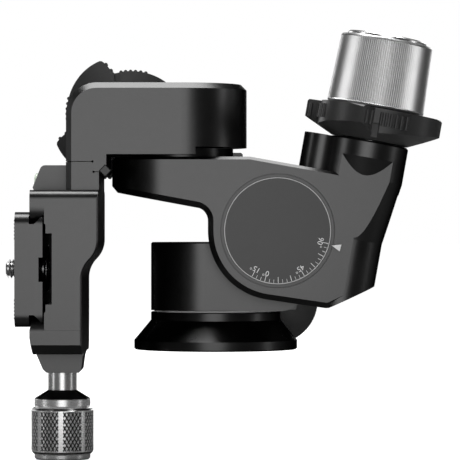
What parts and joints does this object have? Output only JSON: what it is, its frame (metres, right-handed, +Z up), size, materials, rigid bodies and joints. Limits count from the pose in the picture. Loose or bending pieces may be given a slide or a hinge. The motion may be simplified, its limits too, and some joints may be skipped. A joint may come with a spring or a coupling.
{
  "type": "geared tripod head",
  "caption": "Geared tripod head with worm-driven tilt and roll axes, quick-release collars, a swivelling base and a dovetail clamp with camera plate.",
  "frame": {"origin": "where the pan axis meets the base's bottom face, in the mouth of the tripod socket", "axes": "+Z up the pan axis; +Y from the dial face towards the back, along the tilt axis; +X to the right seen from the dial"},
  "size_m": [0.1569, 0.0966, 0.1547],
  "materials": {
    "black_anodised": "fine blasted, black anodised",
    "silver_anodised": "satin silver anodised, knurled",
    "collar_polymer": "matt black",
    "steel": "turned stainless steel",
    "black_steel": "black oxide steel",
    "bronze": "turned bronze",
    "washer_polymer": "plain low-friction polymer",
    "level_clear": "clear acrylic"
  },
  "bodies": {
    "root": {"base_flange": "black_anodised", "base_thread_insert": "steel", "pan_spindle": "steel", "pan_thrust_washer": "washer_polymer", "pan_retaining_nut": "steel"},
    "pan": {"pan_bush": "bronze", "pan_housing": "black_anodised", "pan_top_cap": "black_anodised", "tilt_shaft": "steel", "tilt_shaft_end_disc": "steel", "tilt_dial": "black_anodised", "tilt_worm_wheel": "bronze"},
    "pan_lock": {"pan_lock_knob": "black_anodised", "pan_lock_screw": "black_steel"},
    "tilt": {"tilt_body": "black_anodised", "tilt_bush": "bronze", "tilt_closing_ring": "black_anodised", "tilt_worm_end_bush": "bronze", "roll_shaft": "steel", "roll_shaft_screws": "black_steel", "roll_stop": "black_anodised", "roll_worm_wheel": "bronze"},
    "tilt_collar": {"tilt_release_collar": "collar_polymer", "tilt_release_sleeve": "steel"},
    "tilt_drive": {"tilt_worm": "steel", "tilt_knob": "silver_anodised", "tilt_knob_cap": "silver_anodised"},
    "roll": {"roll_block": "black_anodised", "roll_bush": "bronze", "roll_closing_ring": "black_anodised", "roll_worm_end_bush": "bronze", "stem_lock_bar": "black_steel", "clamp_body": "black_anodised", "clamp_bracket_screws": "black_steel", "bubble_level": "level_clear", "jaw_guide_pins": "steel"},
    "roll_collar": {"roll_release_collar": "collar_polymer", "roll_release_sleeve": "steel"},
    "roll_drive": {"roll_worm": "steel", "roll_knob": "silver_anodised", "roll_knob_cap": "silver_anodised"},
    "jaw": {"clamp_jaw": "black_anodised", "jaw_spring": "steel"},
    "clamp_turn": {"clamp_screw": "steel", "clamp_knob": "silver_anodised", "clamp_knob_cone": "black_anodised", "clamp_knob_sleeve": "silver_anodised"},
    "plate": {"camera_plate": "black_anodised"},
    "camera_bolt": {"camera_screw": "steel", "camera_screw_ring": "steel"}
  },
  "joints": [
    {"name": "pan_swivel", "type": "hinge", "parent": "root", "child": "pan", "pos_m": [0, 0, 0.02], "axis": [0, 0, 1], "continuous": true},
    {"name": "pan_lock_turn", "type": "hinge", "parent": "pan", "child": "pan_lock", "pos_m": [0.022, 0.035, 0.0172], "axis": [0, 1, 0], "range_deg": [0, 270]},
    {"name": "tilt_swing", "type": "hinge", "parent": "pan", "child": "tilt", "pos_m": [0.0222, -0.027, 0.0435], "axis": [0, 1, 0], "range_deg": [0, 105]},
    {"name": "tilt_release", "type": "hinge", "parent": "tilt", "child": "tilt_collar", "pos_m": [0.04879, -0.027, 0.03879], "axis": [0.1745, 0, 0.9847], "range_deg": [0, 30]},
    {"name": "tilt_knob_turn", "type": "hinge", "parent": "tilt", "child": "tilt_drive", "pos_m": [0.04879, -0.027, 0.03879], "axis": [0.1745, 0, 0.9847], "range_deg": [-7980, 0]},
    {"name": "roll_swing", "type": "hinge", "parent": "tilt", "child": "roll", "pos_m": [-0.012, -0.0185, 0.083], "axis": [0, 0, 1], "range_deg": [-15, 65]},
    {"name": "roll_release", "type": "hinge", "parent": "roll", "child": "roll_collar", "pos_m": [-0.0357, -0.0185, 0.08315], "axis": [0, 1, 0], "range_deg": [0, 30]},
    {"name": "roll_knob_turn", "type": "hinge", "parent": "roll", "child": "roll_drive", "pos_m": [-0.0357, -0.0185, 0.08315], "axis": [0, 1, 0], "range_deg": [-4225, 975]},
    {"name": "jaw_open", "type": "slide", "parent": "roll", "child": "jaw", "axis": [0, 0, -1], "range_m": [0, 0.004]},
    {"name": "clamp_knob_turn", "type": "hinge", "parent": "jaw", "child": "clamp_turn", "pos_m": [-0.0554, -0.0185, -0.02], "axis": [0, 0, 1], "range_deg": [-1440, 0]},
    {"name": "plate_slide", "type": "slide", "parent": "roll", "child": "plate", "axis": [0, 1, 0], "range_m": [-0.01, 0.01]},
    {"name": "camera_screw_turn", "type": "hinge", "parent": "plate", "child": "camera_bolt", "pos_m": [-0.0733, -0.0185, 0.0298], "axis": [1, 0, 0], "continuous": true}
  ],
  "couplings": [
    {"joint": "tilt_knob_turn", "follows": "tilt_swing", "ratio": -76},
    {"joint": "roll_knob_turn", "follows": "roll_swing", "ratio": -65},
    {"joint": "clamp_knob_turn", "follows": "jaw_open", "rad_per_m": -6283.2}
  ]
}
